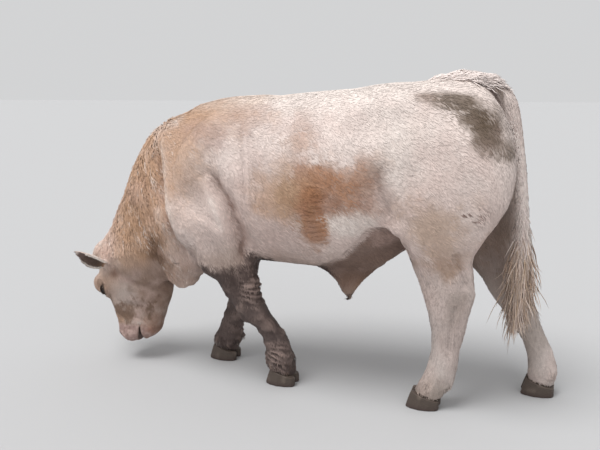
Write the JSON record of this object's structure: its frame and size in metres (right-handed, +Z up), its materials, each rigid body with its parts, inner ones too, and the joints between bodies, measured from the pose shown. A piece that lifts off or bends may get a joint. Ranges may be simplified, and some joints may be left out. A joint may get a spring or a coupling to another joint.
{
  "type": "charolais bull model",
  "caption": "Life-size still model of a Charolais bull that walks with its muzzle lowered to the grass, with cream, tan and mud-marked coat and a long tail switch.",
  "frame": {"origin": "on the floor under the middle of the animal's whole length, on its middle plane", "axes": "-X is the way the bull faces, -Y is its left side, +Z is up"},
  "size_m": [2.4501, 0.6859, 1.5004],
  "materials": {
    "cream_coat": "short matte hair, pale cream",
    "tan_coat": "wavy matte hair, tan",
    "face_coat": "short matte hair, brownish pink",
    "ear_coat": "short matte hair",
    "muddy_leg": "hair caked with dark mud",
    "pale_leg": "short matte hair, pale",
    "tail_hair": "long creamy yellow hair",
    "bare_skin": "thinly haired skin, matte",
    "horn": "dull dark horn",
    "eye": "wet and glossy"
  },
  "bodies": {
    "root": {"torso": "cream_coat", "neck": "tan_coat", "head": "face_coat", "ear_left": "ear_coat", "ear_right": "ear_coat", "eye_left": "eye", "eye_right": "eye", "leg_left_fore": "muddy_leg", "leg_right_fore": "muddy_leg", "leg_left_hind": "pale_leg", "leg_right_hind": "pale_leg", "claw_left_fore_left": "horn", "claw_left_fore_right": "horn", "claw_right_fore_left": "horn", "claw_right_fore_right": "horn", "claw_left_hind_left": "horn", "claw_left_hind_right": "horn", "claw_right_hind_left": "horn", "claw_right_hind_right": "horn", "tail": "cream_coat", "tail_switch": "tail_hair", "sheath": "bare_skin", "scrotum": "bare_skin"}
  },
  "joints": []
}
